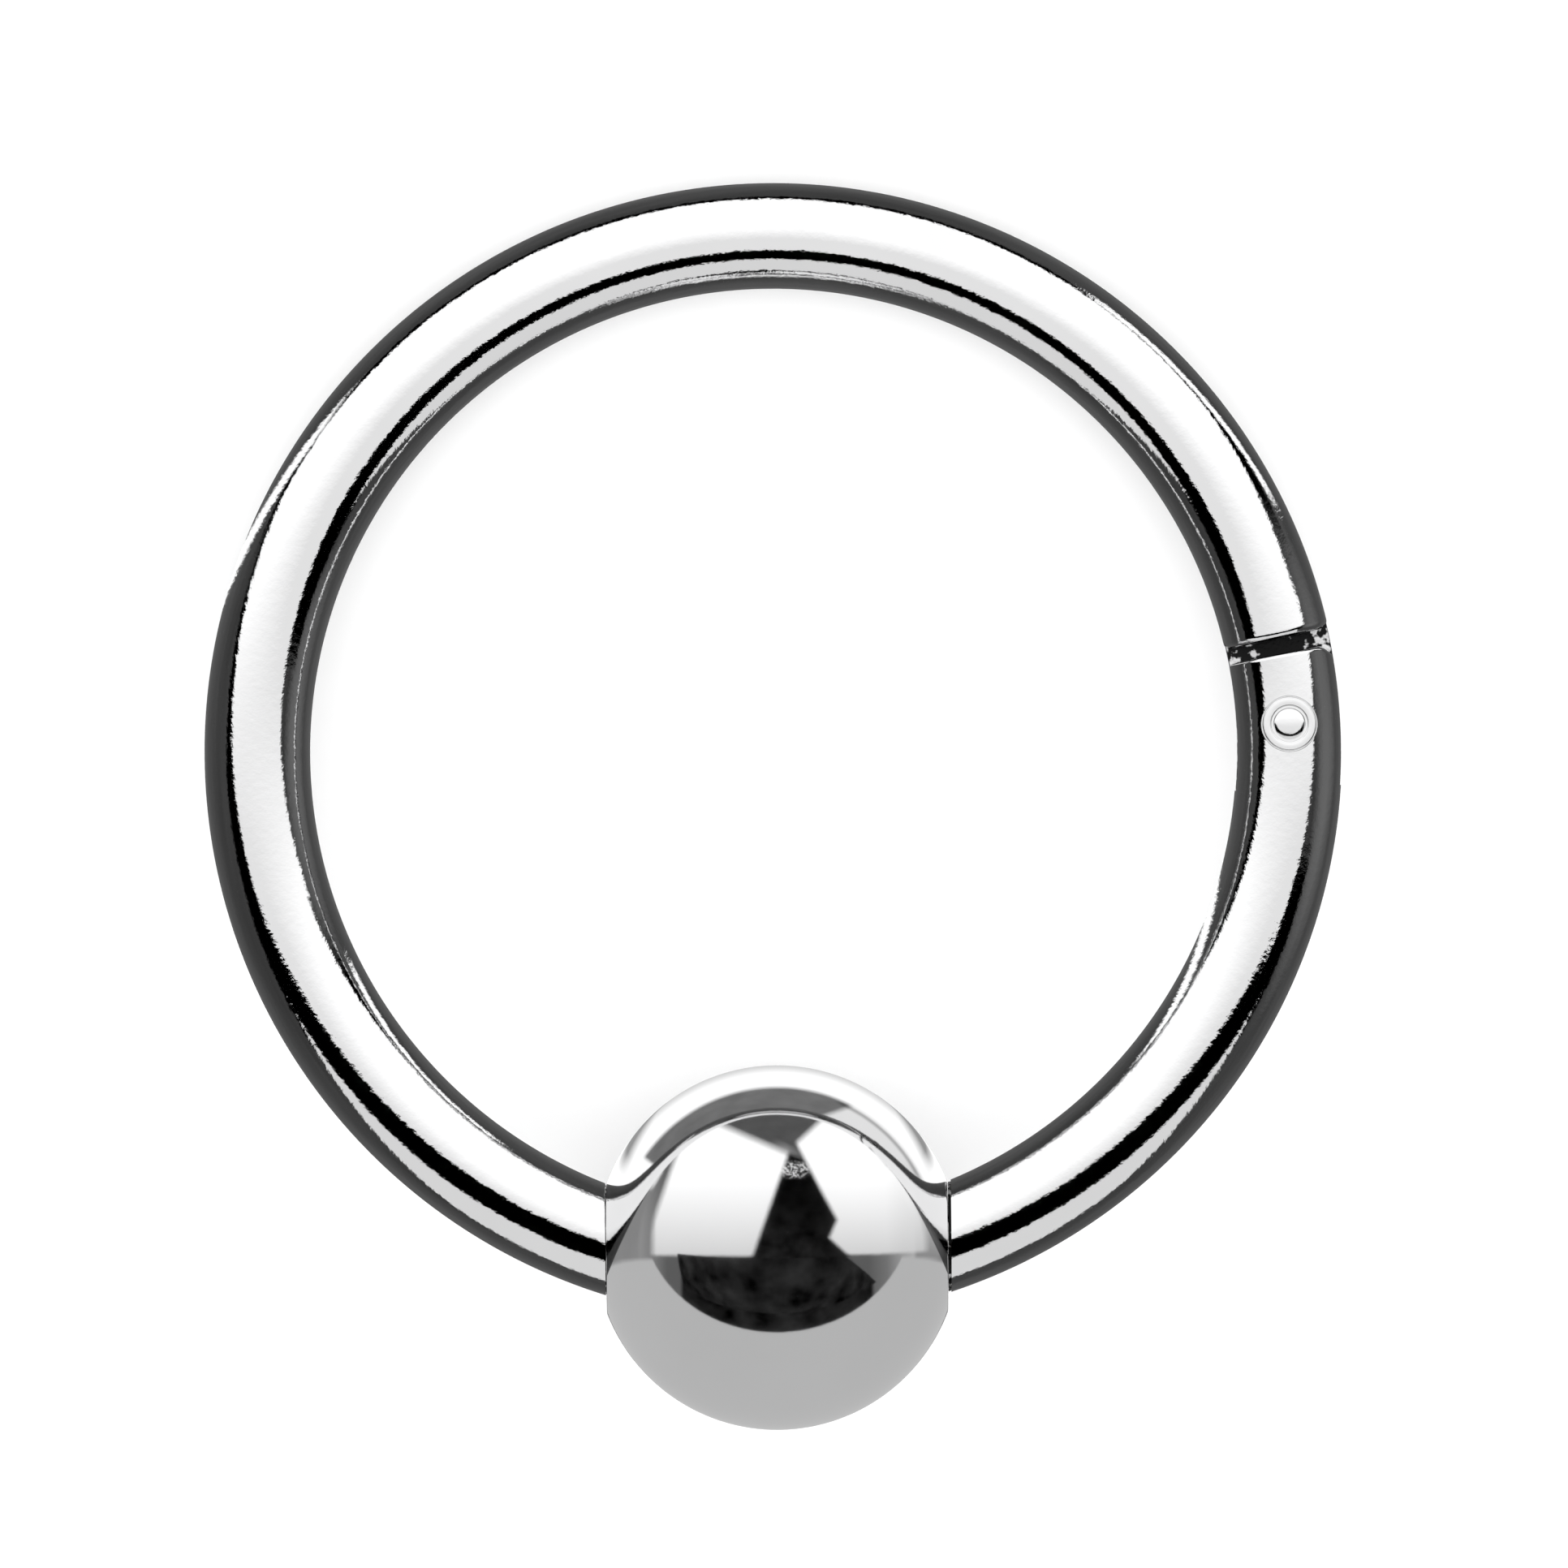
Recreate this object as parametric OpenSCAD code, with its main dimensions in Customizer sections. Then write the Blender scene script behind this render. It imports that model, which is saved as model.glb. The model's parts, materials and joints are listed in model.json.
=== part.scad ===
// Hinged captive bead ring: a round wire ring closed by one bead, with a stretch of wire that swings out.
// Each piece is drawn in the ring's own plane, with the bead at the bottom and the hinge at the right.
// The ring is then laid on its side, where it rests on the bead and on the wire opposite the bead.

/* [Ring] */
// Inside diameter of the ring
inner_d = 10.16; // [8:0.02:14]
// Diameter of the wire
wire_d = 1.16; // [1:0.02:1.6]

/* [Bead] */
// Diameter of the bead
bead_d = 4; // [3:0.1:5]
// Width of the rim of the bead's flat face round the wire
flat_rim = 0.13; // [0.05:0.01:0.2]
// How far the bead's centre lies inside the wire's centre line
bead_inset = 0.22; // [0:0.01:0.4]

/* [Hinge] */
// Angle of the pin above the middle of the ring
pin_angle = 2.65; // [0:0.05:10]
// Diameter of the pin
pin_d = 0.35; // [0.3:0.01:0.42]
// Clearance all round the pin in the ears
ear_clearance = 0.01; // [0.01:0.002:0.02]
// Clearance all round the pin in the tongue
tongue_clearance = 0.016; // [0.012:0.002:0.03]
// Diameter of the round recess that each head of the pin sits in
recess_d = 0.61; // [0.56:0.01:0.7]
// Depth of the recess below the top of the wire
recess_depth = 0.12; // [0.1:0.01:0.16]
// Clearance under each head of the pin and all round it
head_clearance = 0.01; // [0.006:0.002:0.02]
// How far each head stands above the top of the wire
head_stand = 0.01; // [0:0.005:0.03]
// Diameter of the button in the middle of each head
button_d = 0.33; // [0.28:0.01:0.34]
// Width of the groove round the button
groove_w = 0.035; // [0.02:0.005:0.04]
// Depth of the groove
groove_depth = 0.03; // [0.02:0.005:0.05]
// How far the straight part of the button stands above the head
button_stand = 0.01; // [0:0.005:0.02]
// Height of the domed end of the button
dome_h = 0.02; // [0.01:0.005:0.04]
// Thickness of the tongue between the ears
tongue_t = 0.2; // [0.16:0.02:0.44]
// Gap between the tongue and each ear
cheek_gap = 0.02; // [0.015:0.005:0.04]
// Distance of the ears' end from the pin's centre
ear_reach = 0.77; // [0.7:0.01:0.9]
// Width of the split between the ears' end and the shoulder
split_w = 0.17; // [0.12:0.01:0.3]
// How far the turning ears stay clear of the shoulder
shoulder_clearance = 0.025; // [0.02:0.005:0.06]
// Gap between the round end of the tongue and the bottom of the fork
fork_gap = 0.12; // [0.1:0.01:0.2]
// How far the tongue's round end lies inside the line of the wire
knuckle_ease = 0.01; // [0.005:0.005:0.03]

/* [Fixed joint] */
// Gap between the hoop's end and the bead
seam_gap = 0.012; // [0.01:0.002:0.03]
// Diameter of the hoop's post in the bead
post_d = 0.6; // [0.4:0.02:0.7]
// How far the post enters the bead
post_depth = 0.9; // [0.5:0.05:1]
// Clearance round the post and past its end
post_clearance = 0.015; // [0.01:0.005:0.04]

/* [Catch] */
// Gap between the swinging segment's end and the bead
closing_gap = 0.04; // [0.02:0.005:0.08]
// Width of the catch across its swing
catch_w = 0.4; // [0.3:0.02:0.5]
// Thickness of the catch along the hinge's axis
catch_t = 0.36; // [0.24:0.02:0.5]
// How far the catch enters the bead
catch_depth = 0.7; // [0.4:0.05:0.8]
// Clearance round the catch and past its end
catch_clearance = 0.04; // [0.02:0.005:0.06]

/* [Hidden] */

$fa = 3;
$fs = 0.02;
steel = [0.78, 0.79, 0.8];

wire_r = wire_d / 2;
bead_r = bead_d / 2;
pin_r = pin_d / 2;
ring_r = (inner_d + wire_d) / 2;
outer_r = ring_r + wire_r;

// The bead hangs on the lower end of the ring, and its flats cut the wire off on both sides of it.
bead_y = bead_inset - ring_r;
flat_r = wire_r + flat_rim;
flat_x = sqrt(bead_r * bead_r - flat_r * flat_r);
fixed_end_x = flat_x + seam_gap;
free_end_x = flat_x + closing_gap;
fixed_end_y = -sqrt(ring_r * ring_r - flat_x * flat_x);

// Round the ring, angles are counted from the right, and a reach from the pin is turned into one.
bottom_angle = 270;
ear_end_angle = pin_angle + asin(ear_reach / ring_r);
shoulder_angle = pin_angle + asin((ear_reach + split_w) / ring_r);
ear_sweep_r = ear_reach + split_w - shoulder_clearance;
fork_reach = wire_r + fork_gap;
fork_w = tongue_t + 2 * cheek_gap;
cheek_l = ear_reach + split_w + 2 * wire_r;

// Heights above the ring's plane, from the recess floor up to the button's straight part.
recess_z = wire_r - recess_depth;
seat_z = recess_z + head_clearance;
head_z = wire_r + head_stand;
groove_z = head_z - groove_depth;
button_z = head_z + button_stand;
head_r = recess_d / 2 - head_clearance;
button_r = button_d / 2;
groove_r = button_r + groove_w;
dome_r = (button_r * button_r + dome_h * dome_h) / (2 * dome_h);

// The catch is bent round the pin's centre, so that it leaves its slot as the segment turns.
pin_x = ring_r * cos(pin_angle);
pin_y = ring_r * sin(pin_angle);
catch_r = norm([pin_x - flat_x, pin_y - fixed_end_y]);
catch_angle = atan2(fixed_end_y - pin_y, flat_x - pin_x);
catch_sweep = catch_depth * 180 / (PI * catch_r);
root_depth = wire_r / 2;
root_sweep = root_depth * 180 / (PI * catch_r);
catch_gap_sweep = catch_clearance * 180 / (PI * catch_r);

// Lying on its side, the ring leans by the angle that sets the bead and the far wire on one level.
lean = asin((bead_r - wire_r) / (ring_r - bead_y));
rest_z = wire_r + ring_r * sin(lean);
far_y = ring_r * cos(lean) + wire_r;
near_y = bead_y * cos(lean) - bead_r;
rest_y = -(far_y + near_y) / 2;

// How far a block that cuts a piece runs past it.
past = 1;

// Puts what is drawn in the ring's plane where the ring lies.
module laid_down() {
    translate([0, rest_y, rest_z])
        rotate([-lean, 0, 0])
            children();
}

// Moves to the pin's centre, with X outwards across the wire and Y along it, away from the segment.
module at_pin() {
    rotate([0, 0, pin_angle])
        translate([ring_r, 0, 0])
            children();
}

// A stretch of the ring's wire between two angles.
module wire_arc(from_angle, to_angle) {
    rotate([0, 0, from_angle])
        rotate_extrude(angle = to_angle - from_angle)
            translate([ring_r, 0])
                circle(r = wire_r);
}

// The space that the bead keeps clear of a wire that ends at its left, at end_x from the middle.
module bead_side(end_x) {
    translate([-end_x, -outer_r - past, -wire_d])
        cube([end_x + past, outer_r + past, 2 * wire_d]);
}

// What is cut away above or below the tongue, up to the shoulder.
module cheek_cut(side) {
    rotate([0, 0, shoulder_angle])
        translate([ring_r - wire_r - past, -cheek_l, side * (tongue_t + wire_d) / 2 - wire_r])
            cube([wire_d + 2 * past, cheek_l, wire_d]);
}

// The gap between the ears, open at their end and across the whole wire.
module fork_slot() {
    at_pin()
        translate([-wire_r - past, -fork_reach, -fork_w / 2])
            cube([wire_d + 2 * past, fork_reach + ear_reach + past, fork_w]);
}

// What lies past the arc that the ears' corners may reach as they turn.
module past_sweep() {
    at_pin()
        difference() {
            translate([-wire_r - past, 0, -wire_d])
                cube([wire_d + 2 * past, ear_sweep_r + past, 2 * wire_d]);
            cylinder(r = ear_sweep_r, h = 2 * wire_d + past, center = true);
        }
}

// A bent plate about the pin's centre, from inside the segment's end into the bead.
module catch_plate(inward, outward, clearance) {
    w = catch_w + 2 * clearance;
    t = catch_t + 2 * clearance;
    translate([pin_x, pin_y, 0])
        rotate([0, 0, catch_angle - inward])
            rotate_extrude(angle = inward + outward)
                translate([catch_r - w / 2, -t / 2])
                    square([w, t]);
}

// The fixed wire, with the tongue at its hinge end and a post at its other end.
// The tongue is the wire sliced to a plate, with a round end about the pin's centre.
module hoop() {
    color(steel) laid_down() {
        difference() {
            union() {
                wire_arc(pin_angle, bottom_angle);
                at_pin()
                    sphere(r = wire_r - knuckle_ease);
            }
            bead_side(fixed_end_x);
            cheek_cut(-1);
            cheek_cut(1);
            at_pin()
                cylinder(r = pin_r + tongue_clearance, h = wire_d, center = true);
        }
        translate([-fixed_end_x - root_depth, fixed_end_y, 0])
            rotate([0, 90, 0])
                cylinder(r = post_d / 2, h = root_depth + seam_gap + post_depth);
    }
}

// The round bead, flat on both sides, with a bore for the post and a slot for the catch.
module bead() {
    color(steel) laid_down() difference() {
        translate([0, bead_y, 0])
            intersection() {
                rotate([0, 90, 0])
                    sphere(r = bead_r);
                cube([2 * flat_x, bead_d + past, bead_d + past], center = true);
            }
        translate([-flat_x - past, fixed_end_y, 0])
            rotate([0, 90, 0])
                cylinder(r = post_d / 2 + post_clearance, h = past + post_depth + post_clearance);
        catch_plate(catch_sweep + catch_gap_sweep, root_sweep, catch_clearance);
    }
}

// The swinging wire, with two ears at the hinge and the catch at its other end.
module segment() {
    color(steel) laid_down() {
        difference() {
            wire_arc(bottom_angle - 360, ear_end_angle);
            mirror([1, 0, 0])
                bead_side(free_end_x);
            fork_slot();
            past_sweep();
            at_pin()
                cylinder(r = pin_r + ear_clearance, h = 2 * wire_d, center = true);
            for (side = [-1, 1])
                at_pin()
                    translate([0, 0, side * (recess_z + past / 2)])
                        cylinder(d = recess_d, h = past, center = true);
        }
        catch_plate(catch_sweep, root_sweep, 0);
    }
}

// Half the pin's outline: the shank, the flat head, the groove and the button's straight part.
module pin_outline() {
    polygon([
        [0, 0], [pin_r, 0], [pin_r, seat_z], [head_r, seat_z], [head_r, head_z],
        [groove_r, head_z], [groove_r, groove_z], [button_r, groove_z], [button_r, button_z], [0, button_z],
    ]);
}

// The pin through the ears and the tongue, with a flat head at both ends and a domed button on each.
module hinge_pin() {
    color(steel) laid_down() at_pin()
        for (side = [0, 1])
            mirror([0, 0, side]) {
                rotate_extrude()
                    pin_outline();
                intersection() {
                    translate([0, 0, button_z + dome_h - dome_r])
                        sphere(r = dome_r);
                    translate([0, 0, button_z - groove_depth / 2])
                        cylinder(r = button_r, h = groove_depth);
                }
            }
}

hoop();
bead();
segment();
hinge_pin();
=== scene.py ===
"""The hinged captive bead ring, dressed in mirror-polished steel and laid on its side on a pale floor.

Pieces are shaped in millimetres in the ring's own plane, with the bead at the bottom, the hinge at the
right and the camera in front. Each finished mesh is then laid down where the frame has it, in metres.
"""
import json
import math

import bmesh
import bpy
from mathutils import Matrix, Vector

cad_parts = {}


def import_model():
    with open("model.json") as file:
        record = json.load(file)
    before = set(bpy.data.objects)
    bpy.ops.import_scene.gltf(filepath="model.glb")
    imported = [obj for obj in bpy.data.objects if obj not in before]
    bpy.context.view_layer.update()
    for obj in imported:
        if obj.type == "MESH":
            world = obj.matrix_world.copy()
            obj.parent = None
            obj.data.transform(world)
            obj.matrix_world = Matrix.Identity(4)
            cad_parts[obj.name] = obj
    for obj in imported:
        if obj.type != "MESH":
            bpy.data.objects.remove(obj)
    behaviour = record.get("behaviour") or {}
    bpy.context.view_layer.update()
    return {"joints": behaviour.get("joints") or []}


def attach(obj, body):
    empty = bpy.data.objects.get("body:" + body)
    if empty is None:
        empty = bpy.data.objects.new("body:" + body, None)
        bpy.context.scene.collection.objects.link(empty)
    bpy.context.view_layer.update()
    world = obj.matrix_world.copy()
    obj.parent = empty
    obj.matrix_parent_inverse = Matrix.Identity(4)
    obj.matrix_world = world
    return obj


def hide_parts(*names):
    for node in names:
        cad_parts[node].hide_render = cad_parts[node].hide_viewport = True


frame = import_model()

# Sizes of the ring, in millimetres
MM = 0.001
RING_R = 5.66
WIRE_R = 0.58
BEAD_R = 2.0
BEAD_INSET = 0.22
FLAT_RIM = 0.13
BEAD_FILLET = 0.1
FIXED_SEAM = 0.012
CLOSING_SEAM = 0.04
NECK_STEP = 0.015
FIXED_NECK_GAP = 0.003
CLOSING_NECK_GAP = 0.008

# Sizes of the hinge
PIN_ANGLE = math.radians(2.65)
PIN_R = 0.175
HEAD_CLEARANCE = 0.01
HEAD_STAND = 0.01
HEAD_EDGE = 0.016
HEAD_TILT = math.radians(8)
BUTTON_R = 0.175
BUTTON_TOP_R = 0.138
BUTTON_RISE = 0.026
BUTTON_DOME = 0.016
GROOVE_W = 0.022
GROOVE_DEPTH = 0.03
EAR_CLEARANCE = 0.01
TONGUE_CLEARANCE = 0.016
HOLE_CHAMFER = 0.012
RECESS_R = 0.305
RECESS_DEPTH = 0.12
RECESS_RIM = 0.01
RIM_LIFT = 0.0008
TONGUE_T = 0.2
TONGUE_EASE = 0.01
CHEEK_GAP = 0.02
FORK_GAP = 0.12
EAR_REACH = 0.77
SPLIT = 0.17
SHOULDER_CLEARANCE = 0.025
SHOULDER_ROUNDING = 0.08
EAR_ROUNDING = 0.045

# Sizes of the hidden post and catch
POST_R = 0.3
POST_DEPTH = 0.9
POST_CLEARANCE = 0.015
CATCH_W = 0.4
CATCH_T = 0.36
CATCH_DEPTH = 0.7
CATCH_CLEARANCE = 0.04
CATCH_CHAMFER = 0.03

# How finely the meshes are divided
WIRE_SIDES = 120
WIRE_STEP = 0.09
BEAD_SIDES = 192
BEAD_STEPS = 128
PIN_SIDES = 96
ROUND_STEPS = 6
FACE_STEPS = 4
CATCH_STEPS = 16
CHAMFER_STEPS = 2

# How far a cutting block runs past what it cuts, how near a point must be to lie on a surface and how near
# two corners must be to become one, how steep a fold stays sharp, and how far a face may turn from its curve
PAST = 1.0
ON_SURFACE = 0.0006
MERGE_WITHIN = 0.0001
SHARP = math.radians(28)
FACING = math.cos(math.radians(24))

# Places worked out from the sizes
BEAD_Y = BEAD_INSET - RING_R
FLAT_R = WIRE_R + FLAT_RIM
FLAT_X = math.sqrt(BEAD_R ** 2 - FLAT_R ** 2)
FIXED_END_X = FLAT_X + FIXED_SEAM
FREE_END_X = FLAT_X + CLOSING_SEAM
SEAM_Y = -math.sqrt(RING_R ** 2 - FLAT_X ** 2)
EAR_END = PIN_ANGLE + math.asin(EAR_REACH / RING_R)
SHOULDER = PIN_ANGLE + math.asin((EAR_REACH + SPLIT) / RING_R)
EAR_SWEEP_R = EAR_REACH + SPLIT - SHOULDER_CLEARANCE
FORK_REACH = WIRE_R + FORK_GAP
FORK_W = TONGUE_T + 2 * CHEEK_GAP
RECESS_Z = WIRE_R - RECESS_DEPTH
SEAT_Z = RECESS_Z + HEAD_CLEARANCE
HEAD_Z = WIRE_R + HEAD_STAND
HEAD_R = RECESS_R - HEAD_CLEARANCE
GROOVE_Z = HEAD_Z - GROOVE_DEPTH
BOTTOM = math.radians(270)
PIN_X = RING_R * math.cos(PIN_ANGLE)
PIN_Y = RING_R * math.sin(PIN_ANGLE)
CATCH_R = math.hypot(PIN_X - FLAT_X, PIN_Y - SEAM_Y)
CATCH_ANGLE = math.atan2(SEAM_Y - PIN_Y, FLAT_X - PIN_X)

# The ring's plane, from the hinge's axis: RIGHT and UP lie in it, and TOWARDS rises from it to the camera
hinge = frame["joints"][0]
RIGHT = Vector((1, 0, 0))
TOWARDS = Vector(hinge["axis"]).normalized()
UP = TOWARDS.cross(RIGHT)
CENTRE = Vector(hinge["pos_m"]) - (RIGHT * PIN_X + UP * PIN_Y) * MM
AXES = Matrix((RIGHT, UP, TOWARDS)).transposed().to_4x4()
PLACE = Matrix.Translation(CENTRE) @ AXES @ Matrix.Scale(MM, 4)

# The photograph's frame, in its own pixels, and where it has the ring
PHOTO_SIDE = 1932
PIXELS_PER_MM = 112.3
RING_AT = (952.7, 926.3)
RING_TURN = math.radians(0.45)
CAMERA_DISTANCE = 250
CLIP_START = 0.001
SENSOR = 36


class Number:
    """A number that a node tree works out. Python's operators on it add Math nodes."""

    def __init__(self, graph, socket):
        self.graph = graph
        self.socket = socket

    def __add__(self, other):
        return self.graph.maths("ADD", self, other)

    def __radd__(self, other):
        return self.graph.maths("ADD", other, self)

    def __sub__(self, other):
        return self.graph.maths("SUBTRACT", self, other)

    def __rsub__(self, other):
        return self.graph.maths("SUBTRACT", other, self)

    def __mul__(self, other):
        return self.graph.maths("MULTIPLY", self, other)

    def __rmul__(self, other):
        return self.graph.maths("MULTIPLY", other, self)

    def __truediv__(self, other):
        return self.graph.maths("DIVIDE", self, other)

    def __neg__(self):
        return self.graph.maths("MULTIPLY", self, -1)

    def __abs__(self):
        return self.graph.maths("ABSOLUTE", self)

    def sin(self):
        return self.graph.maths("SINE", self)

    def cos(self):
        return self.graph.maths("COSINE", self)

    def root(self):
        return self.graph.maths("SQRT", self)

    def least(self, other):
        return self.graph.maths("MINIMUM", self, other)

    def most(self, other):
        return self.graph.maths("MAXIMUM", self, other)

    def held(self):
        """The number held between 0 and 1."""
        return Number(self.graph, self.graph.node("ShaderNodeClamp", {}, {"Value": self}).outputs[0])

    def edge(self, softness):
        """0 where the number is below zero and 1 above, with a soft step between."""
        return (self / softness + 0.5).held()


class Graph:
    """A node tree under construction."""

    def __init__(self, tree):
        self.tree = tree
        tree.nodes.clear()

    def node(self, kind, settings, sockets):
        """Adds a node, makes its settings and then fills its sockets with values or links."""
        made = self.tree.nodes.new(kind)
        for name, value in settings.items():
            setattr(made, name, value)
        for name, value in sockets.items():
            self.fill(made.inputs[name], value)
        return made

    def fill(self, socket, value):
        """Gives a socket a link or a plain value."""
        if isinstance(value, Number):
            value = value.socket
        if isinstance(value, bpy.types.NodeSocket):
            self.tree.links.new(value, socket)
        else:
            socket.default_value = value

    def maths(self, operation, *values):
        """Adds a Math node and gives its result as a Number."""
        made = self.node("ShaderNodeMath", {"operation": operation}, dict(enumerate(values)))
        return Number(self, made.outputs[0])

    def noise(self, place, scale):
        """Cloudy numbers about 0.5, at a place."""
        sockets = {"Vector": place, "Scale": scale, "Detail": NOISE_DETAIL}
        return Number(self, self.node("ShaderNodeTexNoise", {}, sockets).outputs["Fac"])

    def place(self):
        """The point that is shaded, in its object's own coordinates."""
        return self.node("ShaderNodeTexCoord", {}, {}).outputs["Object"]

    def parts(self, vector):
        """The three numbers of a vector."""
        made = self.node("ShaderNodeSeparateXYZ", {}, {0: vector})
        return [Number(self, socket) for socket in made.outputs]


# Meshes: small tools that every piece uses


def new_object(name, mesh):
    """Puts an object for a mesh in the scene."""
    obj = bpy.data.objects.new(name, mesh)
    bpy.context.scene.collection.objects.link(obj)
    return obj


def object_from(name, shape):
    """An object from a shape that has been built, with its faces turned outwards."""
    bmesh.ops.recalc_face_normals(shape, faces=shape.faces)
    mesh = bpy.data.meshes.new(name)
    shape.to_mesh(mesh)
    shape.free()
    return new_object(name, mesh)


def discard(obj):
    """Removes an object that has served its turn."""
    bpy.data.objects.remove(obj)


def applied(obj):
    """The object's mesh with its modifiers applied, and the modifiers gone."""
    bpy.context.view_layer.update()
    seen = obj.evaluated_get(bpy.context.evaluated_depsgraph_get())
    mesh = bpy.data.meshes.new_from_object(seen)
    obj.modifiers.clear()
    return mesh


def combine(obj, other, operation):
    """Joins another solid to an object or cuts it away, and discards that solid."""
    modifier = obj.modifiers.new(operation.lower(), "BOOLEAN")
    modifier.operation = operation
    modifier.solver = "EXACT"
    modifier.object = other
    obj.data = applied(obj)
    discard(other)


def slice_off(obj, point, outwards):
    """Cuts away what lies beyond a plane and closes the cut with a flat face."""
    shape = bmesh.new()
    shape.from_mesh(obj.data)
    whole = shape.verts[:] + shape.edges[:] + shape.faces[:]
    cut = bmesh.ops.bisect_plane(shape, geom=whole, plane_co=point, plane_no=outwards, clear_outer=True)
    rim = [part for part in cut["geom_cut"] if isinstance(part, bmesh.types.BMEdge)]
    bmesh.ops.edgeloop_fill(shape, edges=rim)
    bmesh.ops.recalc_face_normals(shape, faces=shape.faces)
    shape.to_mesh(obj.data)
    shape.free()


def lathe(name, outline, sides, place):
    """Turns an outline of (along, radius) points about its own axis. It starts and ends on the axis.

    An along may be a function of the turned point's own x and y, for an edge that isn't level.
    """
    shape = bmesh.new()
    rings = []
    for along, radius in outline:
        count = sides if radius > 0 else 1
        ring = []
        for side in range(count):
            turn = 2 * math.pi * side / count
            x = radius * math.cos(turn)
            y = radius * math.sin(turn)
            height = along(x, y) if callable(along) else along
            ring.append(shape.verts.new(place @ Vector((x, y, height))))
        rings.append(ring)
    for low, high in zip(rings, rings[1:]):
        for side in range(sides):
            after = side + 1
            corners = [
                low[side % len(low)],
                low[after % len(low)],
                high[after % len(high)],
                high[side % len(high)],
            ]
            shape.faces.new(list(dict.fromkeys(corners)))
    return object_from(name, shape)


def block(name, low, high, place):
    """A box between two corners."""
    shape = bmesh.new()
    bmesh.ops.create_cube(shape, size=1)
    size = Vector(high) - Vector(low)
    middle = (Vector(high) + Vector(low)) / 2
    for corner in shape.verts:
        spread = Vector((corner.co.x * size.x, corner.co.y * size.y, corner.co.z * size.z))
        corner.co = place @ (middle + spread)
    return object_from(name, shape)


def bent_plate(name, inward, outward, clearance):
    """The catch: a plate bent about the pin's centre, as long as two reaches along its arc."""
    half_w = CATCH_W / 2 + clearance
    half_t = CATCH_T / 2 + clearance
    shape = bmesh.new()
    rows = []
    for step in range(CATCH_STEPS + 1):
        reach = -inward + (inward + outward) * step / CATCH_STEPS
        angle = CATCH_ANGLE + reach / CATCH_R
        corners = ((-half_w, -half_t), (half_w, -half_t), (half_w, half_t), (-half_w, half_t))
        rows.append([
            shape.verts.new((
                PIN_X + (CATCH_R + across) * math.cos(angle),
                PIN_Y + (CATCH_R + across) * math.sin(angle),
                rise,
            ))
            for across, rise in corners
        ])
    for low, high in zip(rows, rows[1:]):
        for side in range(4):
            after = (side + 1) % 4
            shape.faces.new((low[side], low[after], high[after], high[side]))
    shape.faces.new(rows[0])
    shape.faces.new(rows[-1])
    return object_from(name, shape)


def at_pin():
    """The pin's own axes: X outwards across the wire, Y along it away from the segment."""
    return Matrix.Rotation(PIN_ANGLE, 4, "Z") @ Matrix.Translation((RING_R, 0, 0))


def along_x(y):
    """A place on the ring's own upright line, with a lathe's axis laid along X."""
    return Matrix.Translation((0, y, 0)) @ Matrix.Rotation(math.pi / 2, 4, "Y")


def rod(name, low, high, radius, place):
    """A plain round rod between two places on its axis."""
    return lathe(name, ((low, 0), (low, radius), (high, radius), (high, 0)), PIN_SIDES, place)


# The wire, as a rule: a round bar with rounded ends, bent to the ring's radius


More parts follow.
